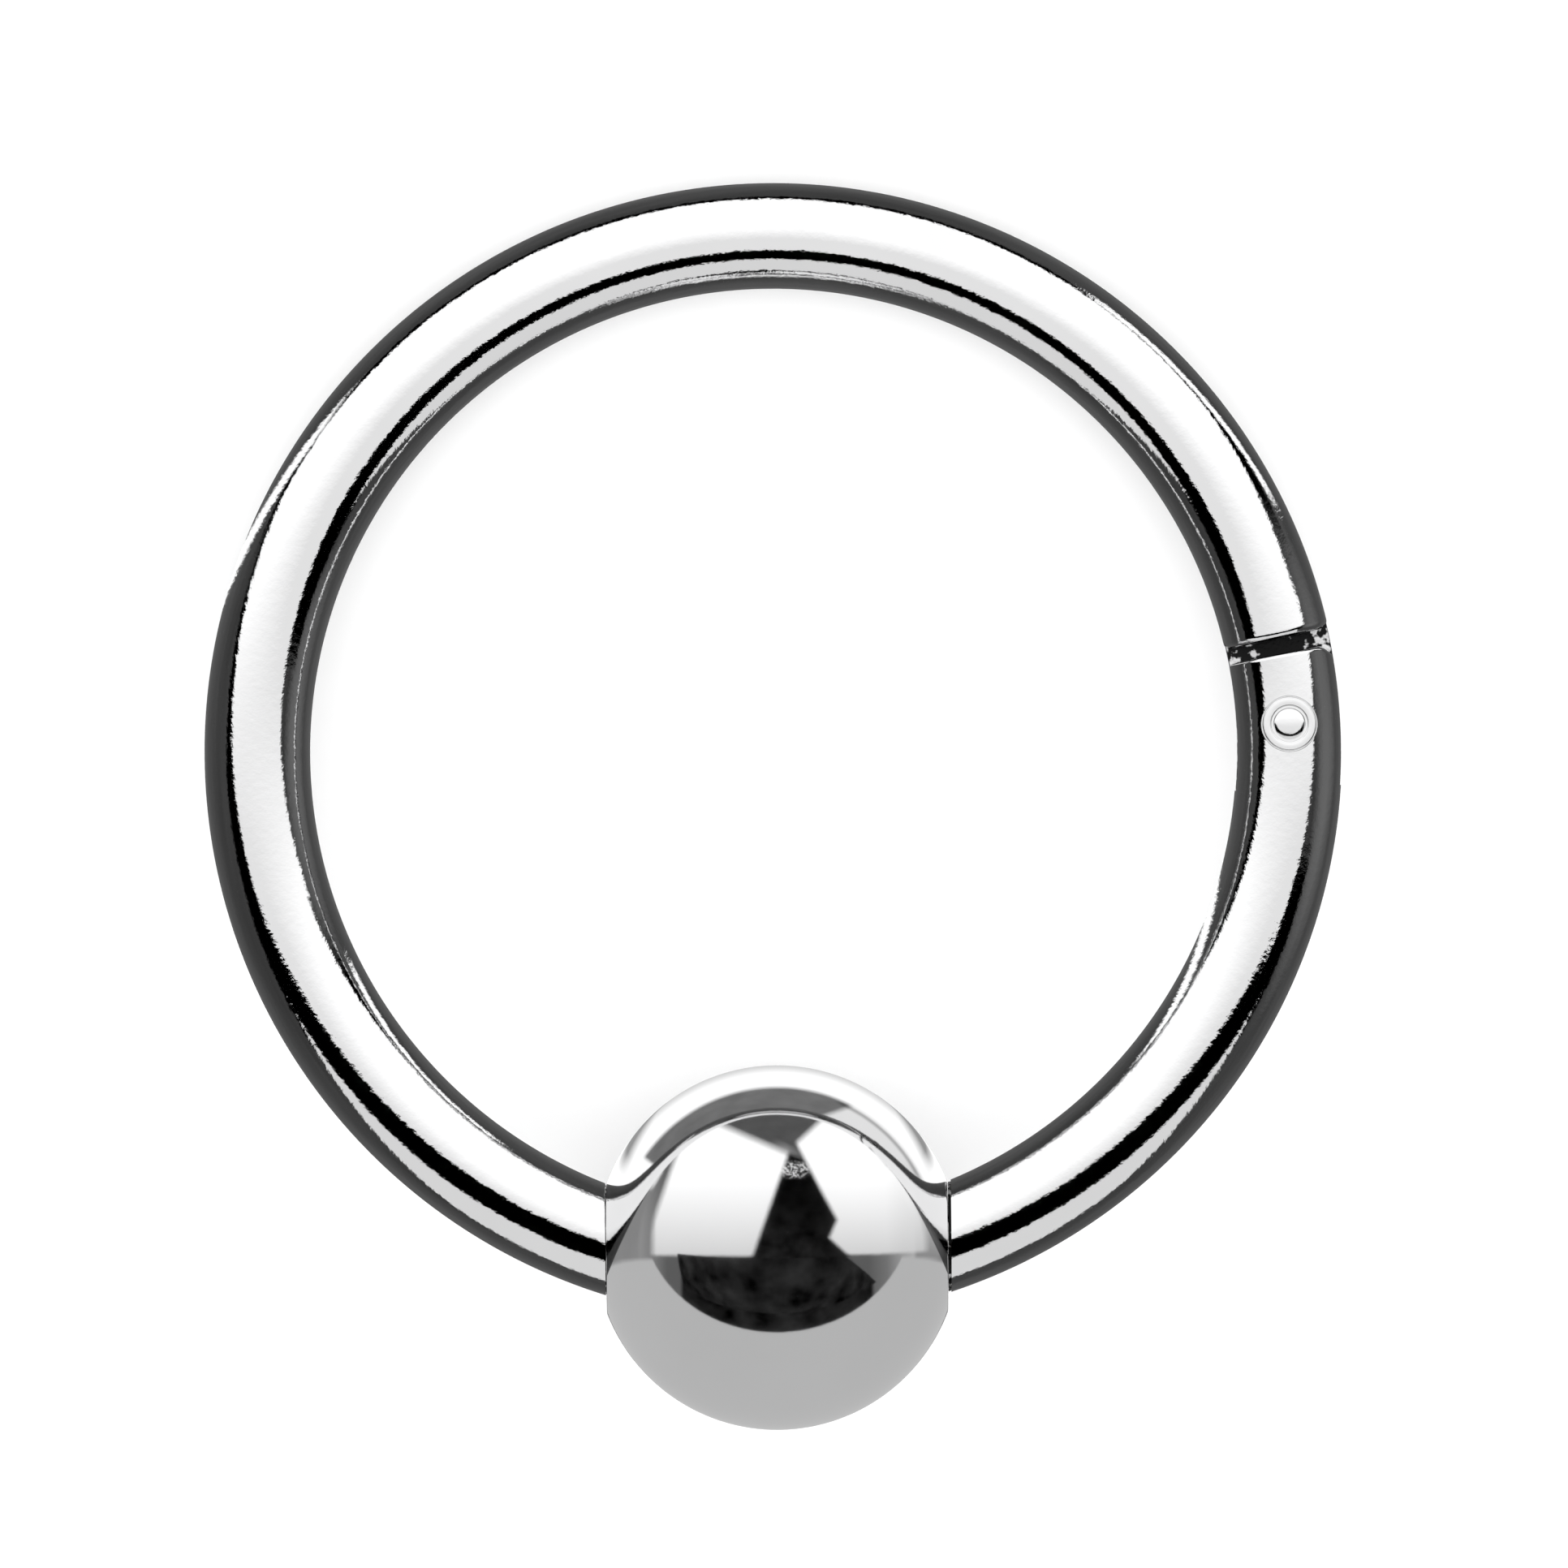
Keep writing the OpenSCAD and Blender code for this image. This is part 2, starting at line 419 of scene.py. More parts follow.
def wire_tree():
    """The node tree that bends a bar from its sizes."""
    tree = bpy.data.node_groups.new("bent wire", "GeometryNodeTree")
    sizes = (
        "Ring Radius", "Wire Radius", "From Angle", "To Angle", "From Rounding", "To Rounding",
        "Pin Angle", "Sweep Radius", "Swept",
    )
    for name in sizes:
        tree.interface.new_socket(name, in_out="INPUT", socket_type="NodeSocketFloat")
    for name in ("Steps Along", "Sides"):
        tree.interface.new_socket(name, in_out="INPUT", socket_type="NodeSocketInt")
    tree.interface.new_socket("Finish", in_out="INPUT", socket_type="NodeSocketMaterial")
    tree.interface.new_socket("Wire", in_out="OUTPUT", socket_type="NodeSocketGeometry")
    graph = Graph(tree)
    given = graph.node("NodeGroupInput", {}, {})
    ring_r, wire_r, start, end, from_round, to_round, pin_angle, sweep_r, swept, along, sides = [
        Number(graph, given.outputs[name]) for name in (*sizes, "Steps Along", "Sides")
    ]

    # A flat grid, whose columns go round the wire and whose rows go along it
    ends = 2 * (FACE_STEPS + ROUND_STEPS)
    grid = graph.node("GeometryNodeMeshGrid", {}, {
        "Size X": 1.0,
        "Size Y": 1.0,
        "Vertices X": sides + 1,
        "Vertices Y": along + (ends + 1),
    })
    place = graph.node("GeometryNodeInputPosition", {}, {})
    across, down, _ = graph.parts(place.outputs[0])
    turn = (across + 0.5) * (2 * math.pi)
    row = (down + 0.5) * (along + ends)

    # Each row belongs to one stretch: face, rounding, bar, rounding, face
    quarter = math.pi / 2
    first_face = (row / FACE_STEPS).held()
    first_round = ((row - FACE_STEPS) / ROUND_STEPS).held() * quarter
    bar = ((row - (FACE_STEPS + ROUND_STEPS)) / along).held()
    last_round = ((row - along - (FACE_STEPS + ROUND_STEPS)) / ROUND_STEPS).held() * quarter
    last_face = ((row - along - (FACE_STEPS + 2 * ROUND_STEPS)) / FACE_STEPS).held()
    length = (end - start) * ring_r
    reach = (
        from_round * (1 - first_round.cos())
        + bar * (length - from_round - to_round)
        + to_round * last_round.sin()
    )
    radius = (
        (wire_r - from_round) * first_face
        + from_round * first_round.sin()
        - to_round * (1 - last_round.cos())
        - (wire_r - to_round) * last_face
    )
    outwards = radius * turn.cos()
    rise = radius * turn.sin()

    # A swept end is also kept inside the arc that its corners may reach about the pin
    out_r = ring_r + outwards
    corner = (out_r * out_r + ring_r * ring_r - sweep_r * sweep_r) / (2 * ring_r * out_r)
    limit = pin_angle + graph.maths("ARCCOSINE", corner)
    shaped_end = end - swept * (end - limit).most(0)
    angle = start + reach / length * (shaped_end - start)
    bent = graph.node("ShaderNodeCombineXYZ", {}, {
        "X": out_r * angle.cos(),
        "Y": out_r * angle.sin(),
        "Z": rise,
    })
    moved = graph.node("GeometryNodeSetPosition", {}, {
        "Geometry": grid.outputs["Mesh"],
        "Position": bent.outputs[0],
    })
    closed = graph.node("GeometryNodeMergeByDistance", {}, {
        "Geometry": moved.outputs[0],
        "Distance": MERGE_WITHIN,
    })
    smooth = graph.node("GeometryNodeSetShadeSmooth", {}, {"Geometry": closed.outputs[0]})
    real = graph.node("GeometryNodeRealizeInstances", {}, {"Geometry": smooth.outputs[0]})
    dressed = graph.node("GeometryNodeSetMaterial", {}, {
        "Geometry": real.outputs[0],
        "Material": given.outputs["Finish"],
    })
    graph.node("NodeGroupOutput", {}, {"Wire": dressed.outputs[0]})
    return tree


def bent_wire(name, tree, finish, sizes):
    """A stretch of wire from the tree, as a plain mesh. Any size that isn't given is the ring's own."""
    obj = new_object(name, bpy.data.meshes.new(name))
    modifier = obj.modifiers.new("bent wire", "NODES")
    modifier.node_group = tree
    length = (sizes["To Angle"] - sizes["From Angle"]) * RING_R
    values = {
        "Ring Radius": RING_R,
        "Wire Radius": WIRE_R,
        "From Rounding": EAR_ROUNDING,
        "To Rounding": EAR_ROUNDING,
        "Pin Angle": PIN_ANGLE,
        "Sweep Radius": EAR_SWEEP_R,
        "Swept": 0.0,
        "Steps Along": round(length / WIRE_STEP),
        "Sides": WIRE_SIDES,
        "Finish": finish,
        **sizes,
    }
    for item in tree.interface.items_tree:
        if item.in_out == "INPUT":
            modifier[item.identifier] = values[item.name]
    mesh = applied(obj)
    shape = bmesh.new()
    shape.from_mesh(mesh)
    bmesh.ops.recalc_face_normals(shape, faces=shape.faces)
    shape.to_mesh(mesh)
    shape.free()
    obj.data = mesh
    return obj


# Finishing a piece: its normals, its second material, which paints shade and a few highlights, its place and
# its body


def wire_normal(point):
    """The true normal of the ring's wire at a point, or None where the point isn't on it."""
    middle = Vector((point.x, point.y, 0)).normalized() * RING_R
    out = point - middle
    return out.normalized() if abs(out.length - WIRE_R) < ON_SURFACE else None


def bead_normal(point):
    """The true normal of the bead's round face at a point, or None where the point isn't on it."""
    out = point - Vector((0, BEAD_Y, 0))
    return out.normalized() if abs(out.length - BEAD_R) < ON_SURFACE else None


def no_normal(point):
    """For a piece with no long curved face, whose mesh normals will do."""
    return None


def set_normals(mesh, true_normal):
    """Gives the curved faces their true normals, so that no facet shows in the polish."""
    for face in mesh.polygons:
        face.use_smooth = True
    mesh.set_sharp_from_angle(angle=SHARP)
    normals = [corner.vector.copy() for corner in mesh.corner_normals]
    for face in mesh.polygons:
        for index in face.loop_indices:
            exact = true_normal(mesh.vertices[mesh.loops[index].vertex_index].co)
            if exact is not None and exact.dot(face.normal) > FACING:
                normals[index] = exact
    mesh.normals_split_custom_set(normals)


def in_slot(face):
    """Whether a face belongs to the milled slot of the hinge."""
    from_pin = at_pin().inverted() @ face.center
    low = abs(face.center.z) < FORK_W / 2 + ON_SURFACE
    near = -FORK_REACH - CHEEK_GAP < from_pin.y < EAR_REACH + SPLIT + CHEEK_GAP
    return low and near and wire_normal(face.center) is None


def shoulder_face(face):
    """Whether a face is the flat shoulder that the tongue grows from."""
    facing = Vector((math.sin(SHOULDER), -math.cos(SHOULDER), 0))
    return abs(face.center.dot(facing)) < SHOULDER_ROUNDING and face.normal.dot(facing) > FACING


def on_neck(face):
    """Whether a face belongs to the side of a neck in one of the bead's seams."""
    in_seam = FLAT_X < abs(face.center.x) < FLAT_X + CLOSING_SEAM - ON_SURFACE
    return in_seam and abs(face.normal.x) < FACING and wire_normal(face.center) is None


def finish_piece(obj, node, body, finishes, true_normal, painted_shade_faces=None):
    """Cleans a shaped mesh, gives it its finishes, lays it down and lets it stand for its node."""
    mesh = obj.data
    mesh.materials.clear()
    for finish in finishes:
        mesh.materials.append(finish)
    # The faces that the test picks take the second finish, which is nearly black and paints their shade.
    for face in mesh.polygons:
        face.material_index = 1 if painted_shade_faces and painted_shade_faces(face) else 0
    set_normals(mesh, true_normal)
    mesh.transform(PLACE)
    mesh.name = node
    obj.name = node + "_polished"
    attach(obj, body)
    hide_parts(node)
    return obj


# The pieces


def neck(tree, finish, side, gap):
    """A slightly thinner stretch of wire, which leaves only a thin gap between a wire's end and the bead. Its
    finish is nearly black and paints the shade in that gap.
    """
    turn = math.asin(FLAT_X / RING_R)
    obj = bent_wire("neck", tree, finish, {
        "Wire Radius": WIRE_R - NECK_STEP,
        "From Angle": BOTTOM + side * turn - WIRE_R / 2 / RING_R,
        "To Angle": BOTTOM + side * turn + WIRE_R / 2 / RING_R,
    })
    slice_off(obj, Vector((side * (FLAT_X + gap), 0, 0)), Vector((-side, 0, 0)))
    return obj


def hoop(tree, polish, milled_painted_shade):
    """The fixed wire, with its rounded shoulder, the tongue and the hidden post."""
    obj = bent_wire("hoop", tree, polish, {
        "From Angle": SHOULDER,
        "To Angle": BOTTOM - math.asin(WIRE_R / RING_R),
        "From Rounding": SHOULDER_ROUNDING,
    })
    past_seam = block(
        "past_seam",
        (-FIXED_END_X, -RING_R - PAST, -PAST),
        (0, SEAM_Y + PAST, PAST),
        Matrix.Identity(4),
    )
    combine(obj, past_seam, "DIFFERENCE")
    tongue_r = WIRE_R - TONGUE_EASE
    tongue = bent_wire("tongue", tree, polish, {
        "Wire Radius": tongue_r,
        "From Angle": PIN_ANGLE - math.asin(tongue_r / RING_R),
        "To Angle": SHOULDER + math.asin(WIRE_R / RING_R),
        "From Rounding": tongue_r,
    })
    for side in (-1, 1):
        slice_off(tongue, Vector((0, 0, side * TONGUE_T / 2)), Vector((0, 0, side)))
    bore = rod("bore", -PAST, PAST, PIN_R + TONGUE_CLEARANCE, at_pin())
    combine(tongue, bore, "DIFFERENCE")
    combine(obj, tongue, "UNION")
    root = FIXED_END_X + WIRE_R / 2
    post = rod("post", -root, POST_DEPTH - FLAT_X, POST_R, along_x(SEAM_Y))
    combine(obj, post, "UNION")
    combine(obj, neck(tree, milled_painted_shade, -1, FIXED_NECK_GAP), "UNION")
    # The slot, the shoulder and the neck take the nearly black finish, which paints their shade and a few
    # highlights.
    return finish_piece(
        obj, "hoop", "fixed_ring", (polish, milled_painted_shade), wire_normal,
        lambda face: in_slot(face) or shoulder_face(face) or on_neck(face),
    )


def wire_top(side, drop):
    """The height of the wire's upper or lower surface near the pin, less a drop, as a function of a point."""
    def height(x, y):
        across = math.hypot(RING_R + x, y) - RING_R
        return side * (math.sqrt(WIRE_R ** 2 - across ** 2) - drop)

    return height


def recess(side):
    """One end's cut for the pin, from its chamfered hole through the round recess to the rounded rim."""
    hole_r = PIN_R + EAR_CLEARANCE
    cut = [
        (side * (RECESS_Z - HOLE_CHAMFER), hole_r),
        (side * RECESS_Z, hole_r + HOLE_CHAMFER),
        (side * RECESS_Z, RECESS_R),
    ]
    for step in range(ROUND_STEPS + 1):
        turn = math.pi / 2 * (1 - step / ROUND_STEPS)
        drop = RECESS_RIM * (1 - math.cos(turn)) - RIM_LIFT
        cut.append((wire_top(side, drop), RECESS_R + RECESS_RIM * (1 - math.sin(turn))))
    cut.append((side * PAST, RECESS_R + RECESS_RIM))
    cut.append((side * PAST, 0))
    return cut


def counterbore():
    """What is cut from the ears for the pin."""
    return lathe("counterbore", (*reversed(recess(-1)), *recess(1)), PIN_SIDES, at_pin())


def segment(tree, polish, milled_painted_shade):
    """The swinging wire, with its two ears, the pin's recesses and the catch."""
    obj = bent_wire("segment", tree, polish, {
        "From Angle": BOTTOM - 2 * math.pi + math.asin(WIRE_R / RING_R),
        "To Angle": EAR_END,
        "Swept": 1.0,
    })
    slice_off(obj, Vector((FREE_END_X, 0, 0)), Vector((-1, 0, 0)))
    fork = block(
        "fork",
        (-WIRE_R - PAST, -FORK_REACH, -FORK_W / 2),
        (WIRE_R + PAST, EAR_REACH + PAST, FORK_W / 2),
        at_pin(),
    )
    combine(obj, fork, "DIFFERENCE")
    combine(obj, counterbore(), "DIFFERENCE")
    catch = bent_plate("catch", CATCH_DEPTH, WIRE_R / 2, 0)
    chamfer = catch.modifiers.new("chamfer", "BEVEL")
    chamfer.width = CATCH_CHAMFER
    chamfer.segments = CHAMFER_STEPS
    chamfer.limit_method = "ANGLE"
    catch.data = applied(catch)
    combine(obj, catch, "UNION")
    combine(obj, neck(tree, milled_painted_shade, 1, CLOSING_NECK_GAP), "UNION")
    # The slot and the neck take the nearly black finish, which paints their shade and a few highlights.
    return finish_piece(
        obj, "segment", "swinging_segment", (polish, milled_painted_shade), wire_normal,
        lambda face: in_slot(face) or on_neck(face),
    )


def bead_outline():
    """Half the bead's outline, from flat to flat, with a small fillet at the rim of each flat."""
    inner_r = BEAD_R - BEAD_FILLET
    centre_x = FLAT_X - BEAD_FILLET
    centre_r = math.sqrt(inner_r ** 2 - centre_x ** 2)
    rim_angle = math.atan2(centre_r, centre_x)
    points = [(FLAT_X, 0)]
    for step in range(1, FACE_STEPS + 1):
        points.append((FLAT_X, centre_r * step / FACE_STEPS))
    for step in range(1, ROUND_STEPS + 1):
        angle = rim_angle * step / ROUND_STEPS
        points.append((centre_x + BEAD_FILLET * math.cos(angle), centre_r + BEAD_FILLET * math.sin(angle)))
    for step in range(1, BEAD_STEPS):
        angle = rim_angle + (math.pi - 2 * rim_angle) * step / BEAD_STEPS
        points.append((BEAD_R * math.cos(angle), BEAD_R * math.sin(angle)))
    mirrored = [(-along, radius) for along, radius in reversed(points[:FACE_STEPS + ROUND_STEPS + 1])]
    return points + mirrored


def bead(polish, milled_painted_shade):
    """The bead, flat at both sides, with the post's bore and the catch's slot."""
    obj = lathe("bead", bead_outline(), BEAD_SIDES, along_x(BEAD_Y))
    tip = POST_DEPTH + POST_CLEARANCE - FLAT_X
    bore = rod("bore", -FLAT_X - PAST, tip, POST_R + POST_CLEARANCE, along_x(SEAM_Y))
    combine(obj, bore, "DIFFERENCE")
    slot = bent_plate("slot", CATCH_DEPTH + CATCH_CLEARANCE, WIRE_R / 2, CATCH_CLEARANCE)
    combine(obj, slot, "DIFFERENCE")
    inside = BEAD_R - BEAD_FILLET

    def bored(face):
        out = face.center - Vector((0, BEAD_Y, 0))
        return out.length < inside and abs(out.x) < FLAT_X - ON_SURFACE

    # The bore's faces take the nearly black finish, which paints their shade.
    return finish_piece(obj, "bead", "fixed_ring", (polish, milled_painted_shade), bead_normal, bored)


def arc(along, radius, size, start, stop):
    """Points on an arc of an outline. Its angles are counted from straight outwards to straight up."""
    turns = [start + (stop - start) * step / ROUND_STEPS for step in range(ROUND_STEPS + 1)]
    return [(along + size * math.sin(turn), radius + size * math.cos(turn)) for turn in turns]


def hinge_pin(polish):
    """The pin: its shank, and at both ends a rolled head with a groove round a crowned button."""
    upwards = math.pi / 2
    roll_low = BUTTON_R + GROOVE_W + HEAD_EDGE
    roll_high = HEAD_R - HEAD_EDGE
    roll_r = (roll_high - roll_low) / 2 / math.sin(HEAD_TILT)
    crown_r = (BUTTON_TOP_R ** 2 + BUTTON_DOME ** 2) / (2 * BUTTON_DOME)
    crown_z = GROOVE_Z + BUTTON_RISE + BUTTON_DOME - crown_r
    crown_start = math.acos(BUTTON_TOP_R / crown_r)
    half = [(0, PIN_R), (SEAT_Z, PIN_R), (SEAT_Z, HEAD_R)]
    half += arc(HEAD_Z - HEAD_EDGE, roll_high, HEAD_EDGE, 0, upwards - HEAD_TILT)
    half += arc(HEAD_Z - roll_r, (roll_high + roll_low) / 2, roll_r, upwards - HEAD_TILT, upwards + HEAD_TILT)
    half += arc(HEAD_Z - HEAD_EDGE, roll_low, HEAD_EDGE, upwards + HEAD_TILT, math.pi)
    half += [(GROOVE_Z, BUTTON_R + GROOVE_W), (GROOVE_Z, BUTTON_R)]
    half += arc(crown_z, 0, crown_r, crown_start, upwards)[:-1]
    half.append((crown_z + crown_r, 0))
    below = [(-along, radius) for along, radius in reversed(half[1:])]
    obj = lathe("hinge_pin", (*below, *half), PIN_SIDES, at_pin())
    return finish_piece(obj, "hinge_pin", "swinging_segment", (polish,), no_normal)


# Finishes


# The steel's bluish cast, the noises' detail, how much the roughness varies, and how the painted highlights
# spread towards the wire's rims
BLUER = 1.004
NOISE_DETAIL = 3.0
WAVE_ROUGHNESS = 0.6
LEAST_ROUGHNESS = 0.8
ROUGHNESS_SPREAD = 0.4
PAINTED_GLINT_START = 0.6
PAINTED_GLINT_SLOPE = 4


def new_material(name):
    """A material and its empty node tree."""
    material = bpy.data.materials.new(name)
    material.use_nodes = True
    return material, Graph(material.node_tree)


def from_middle(graph, place):
    """How far a place lies from the ring's centre line across the wire, as a share of the wire's radius."""
    x, y, z = graph.parts(place)
    right = x - CENTRE.x
    up = (y - CENTRE.y) * UP.y + (z - CENTRE.z) * UP.z
    return abs((right * right + up * up).root() - RING_R * MM) / (WIRE_R * MM)


def steel(name, tones, tone_scale, roughness, wave_scale, wave_height, painted_glint_lift=0):
    """Steel: a tone that drifts a little, a roughness that is never quite even, and the wheel's faint waves.

    The last argument paints highlights: it makes the lighter tone commoner at both sides of the wire and
    rarer between them.
    """
    material, graph = new_material(name)
    place = graph.place()
    waves = graph.node("ShaderNodeTexNoise", {}, {
        "Vector": place,
        "Scale": wave_scale,
        "Detail": NOISE_DETAIL,
        "Roughness": WAVE_ROUGHNESS,
    })
    cloud = graph.noise(place, tone_scale)
    tone_and_painted_glint = cloud
    # Painted highlights: the lighter tone grows commoner towards both sides of the wire.
    if painted_glint_lift:
        rim = ((from_middle(graph, place) - PAINTED_GLINT_START) * PAINTED_GLINT_SLOPE).most(-1).least(1)
        tone_and_painted_glint = cloud + rim * painted_glint_lift
    shade = graph.node("ShaderNodeValToRGB", {}, {"Fac": tone_and_painted_glint})
    for stop, (position, tone) in zip(shade.color_ramp.elements, tones):
        stop.position = position
        stop.color = (tone, tone, tone * BLUER, 1)
    bump = graph.node("ShaderNodeBump", {}, {
        "Height": waves.outputs["Fac"],
        "Strength": 1.0,
        "Distance": wave_height,
    })
    shader = graph.node("ShaderNodeBsdfPrincipled", {}, {
        "Base Color": shade.outputs["Color"],
        "Metallic": 1.0,
        "Roughness": roughness * (LEAST_ROUGHNESS + cloud * ROUGHNESS_SPREAD),
        "Normal": bump.outputs[0],
    })
    graph.node("ShaderNodeOutputMaterial", {}, {"Surface": shader.outputs[0]})
    return material


# Two tones of each finish, with their places in the clouds, and the clouds of polished steel per metre. The
# milled finish's nearly black tone paints shade, and its light tone paints highlight specks.
POLISH_TONES = ((0.3, 0.77), (0.7, 0.79))
MILLED_PAINTED_SHADE_TONES = ((0.54, 0.012), (0.62, 0.7))
POLISH_CLOUDS = 900
wire_polish = steel(
    "polished steel wire", POLISH_TONES, POLISH_CLOUDS,
    roughness=0.05, wave_scale=11000, wave_height=2.4e-6,
)
bead_polish = steel(
    "polished steel bead", POLISH_TONES, POLISH_CLOUDS,
    roughness=0.06, wave_scale=3000, wave_height=0.4e-6,
)
pin_polish = steel(
    "pin steel", POLISH_TONES, POLISH_CLOUDS,
    roughness=0.12, wave_scale=9000, wave_height=1.5e-6,
)
# Milled steel: real roughness and bumps, with a nearly black tone that paints the shade in the slot, the
# seams and the bore, and painted highlight specks.
milled_steel_with_painted_shade = steel(
    "milled steel with painted shade", MILLED_PAINTED_SHADE_TONES, tone_scale=9000,
    roughness=0.3, wave_scale=12000, wave_height=12e-6, painted_glint_lift=0.07,
)

bend = wire_tree()
wires = [
    hoop(bend, wire_polish, milled_steel_with_painted_shade),
    segment(bend, wire_polish, milled_steel_with_painted_shade),
    hinge_pin(pin_polish),
]
beads = [bead(bead_polish, milled_steel_with_painted_shade)]


# The studio: two domes, one that the wire reflects and one that the bead reflects

# Sizes of the stage, in metres, and how finely it is divided
WIRE_DOME_R = 0.5
BEAD_DOME_R = 0.6
DOME_SUBDIVISIONS = 5
FLOOR_R = 0.4
FLOOR_SIDES = 96

# Brightness of what both domes show, of the floor and of the light on it
WHITE = 1.3
SOFT_WHITE = 0.97
TABLE_GREY = 0.84
DARK_GREY = 0.056
FLOOR_TONE = 0.93
FLOOR_LIGHT = 2.1
SMOKE = 0.08
SMOKE_SCALE = 4
SMOKE_START = 0.3

# The black card's distance from the ring in metres, and its corners in the ring's own millimetres
FLAG_DISTANCE = 0.03
FLAG_CORNERS = ((-45, -24.5, 23), (55, -24.5, 23), (18.5, -7.4, 21), (-45, -7.4, 21))

# What the domes show is bounded by straight edges. An edge is a weight for each part of the place, an
# offset and a softness, and an edge without its softness is a line. For the wire, the parts are how far
# a direction points to the side, up and towards the camera.
TENT_SIDE = (-1, 1.76, 1.418, 0)
TENT_SHADE = 0.84
TENT_SHADE_RISE = 2
TENT_WHITE_RISE = (0, 3, 0, 0.3)
TENT_CORNER = (0, 1.1, 1, -0.74)
TENT_LOW_CORNER = (0, -1, 0, 0.27)
TENT_BACK = (0, 0, 1, -0.047)
TENT_SOFTNESS = 0.03
WIRE_TABLE = ((0, -1, -0.97, 0, 0.03), (-1, -0.86, 0.94, 0, 0.03), (0, 0, 1, 0.08, 0.04))
BLACK_SIDE = ((0, 0, 1, -0.33, 0.05), (-0.2, -1, 0, 0, 0.05))
BLACK_TOP = ((0, 0, 1, 0.09, 0.02), (0, 1, 0, -0.4, 0.1))
BLACK_LEFT = ((-1, 0, 0, -0.5, 0.05), (0, 0.92, 1, -0.42, 0.05), (0, -1, 0, 0.5, 0.1))
HAZE = 0.03
HAZE_SCALE = 3
PALE_OUT = 0.72
PALE_RIGHT = 0.87
PALE_RIGHT_GREY = 0.8

# Two lamps for the wire, by how far across and how high a mirror ball shows them
RIGHT_LAMP = ((0.77, 1, -0.885, 0.02), (-0.77, -1, 0.975, 0.02), (-0.5, 1, 0, 0.04), (1.4, -1, 0, 0.04))
LEFT_LAMP = ((-0.324, 1, -0.59, 0.02), (0.324, -1, 0.68, 0.02), (-1, 0, -0.57, 0.05))

# The softness of the sharpest edges, and what keeps the mirror ball from dividing by nothing
CRISP = 0.02
NEARLY_ZERO = 0.0001

# Two softboxes for the bead, by how far across, how high and how far out a mirror ball shows them
ABOVE_TABLE = (0, 1, 0, 0.04, CRISP)
BOX_OUT = 0.755
LEFT_BOX = (
    ABOVE_TABLE,
    (-1, 0.356, 0, -0.12, 0.03),
    (1, 0, 0, 0.68, 0.04),
    (1, -0.34, 0, 0.727, 0.04),
    (-0.425, -1, 0, 0.548, 0.05),
    (0, 0, -1, BOX_OUT, 0.03),
)
RIGHT_BOX = (ABOVE_TABLE, (0.877, -1, 0, 0.479, 0.05))
RIGHT_BOX_SIDE = (1, 0.515, 0, -0.409)
RIGHT_BOX_FOOT = (1, 1.04, 0, -0.345)
RIGHT_BOX_TOE = (1, -0.457, 0, -0.261)
RIGHT_BOX_OUT = (0.29, 0, 0, 0.58)
RIGHT_BOX_DIMMING = (1.4, 0, 0, -0.84)
BOX_SOFTNESS = 0.03
BOX_GREY = 0.78
BOX_GLOW = 0.55
BOX_GLOW_RISE = (0, 2.2, 0, 0.15)

# The bead's table by direction, and the grey sides that the boxes stand against
BEAD_TABLE = ((0, -1, 0, -0.09, 0.03), (0, -0.72, -1, 0, CRISP))
BEAD_TABLE_GREY = 0.57
SIDES_FROM = 0.52
SIDES_FOOT = (1, 1.04, 0, -0.33)
SIDES_GREY = 0.13
SIDES_RISE = (1.4, 0, 0, -0.84)
RIGHT_SIDE_RISE = (0.8, 0, 0, -0.4)

# The grey lens above the gap between the boxes, and the small bridge that spans it
LENS = ((0.425, 1, 0, -0.548, CRISP), (0, 0, -1, 0.76, CRISP))
LENS_GREY = 0.105
LENS_CLOUDS = 0.5
BRIDGE_LINE = (0.425, 1, 0, -0.572)
BRIDGE_THINNESS = 28
BRIDGE_AT = 0.06
BRIDGE_SHORTNESS = 12
BRIDGE_GREY = 0.2

# The band round the boxes: its shaded middle, its pale ends and the crease near its right end
UPPER = (0, 1, 0, 0.1, 0.04)
LOWER = (0, -1, 0, 0.02, 0.05)
BAND_OUT = 0.883
BAND_SHADE = (1, 1.51, 0, 0, 0.04)
BAND_SHADE_TOP = (-0.294, 1, 0, -0.646)
BAND_SHADE_SOFTNESS = 0.03
BAND_GREY = 0.2
LEFT_END = (-1, 0, 0, 0, 0.1)
LEFT_END_TOP = (0, 1, 0, -0.33, 0.05)
LEFT_END_GREY = 0.28
RIGHT_END = (1, 0, 0, 0, 0.1)
RIGHT_END_RISE = (0, 1.2, 0, 0.38)
RIGHT_END_GREY = 0.95
CREASE = ((0, 0, 1, -0.858, 0.014), (0, 0, -1, 0.874, 0.014), (1, 0, 0, -0.35, 0.05), (0, 1, 0, -0.35, 0.1))
CREASE_DEPTH = 0.5

# The darker rim of the white behind the band, and the smoke, bright specks and clouds in what is dark
RIM_OUT = 0.99
RIM_FROM = 0.7
RIM_SLANT = 0.35
RIM_SOFTNESS = 0.06
RIM_TOP = (-1, 2, 0, 0, 0.25)
RIM_DEPTH = 0.95
SMOKE_RISE = (0, -2, 0, 0.8)
SPARKS_AT = (0.1, 0.43)
SPARKS_THINNESS = (140, 500)
SPARKS_REACH = 1.4
SPARKS_START = 0.52
SPARKS_SOFTNESS = 0.03
SPARKS_SCALE = 45
CLOUDS = 0.12
CLOUDS_SCALE = 6


def receivers(name, objects):
    """A collection of the pieces that a light is for."""
    group = bpy.data.collections.new(name)
    for obj in objects:
        group.objects.link(obj)
    return group


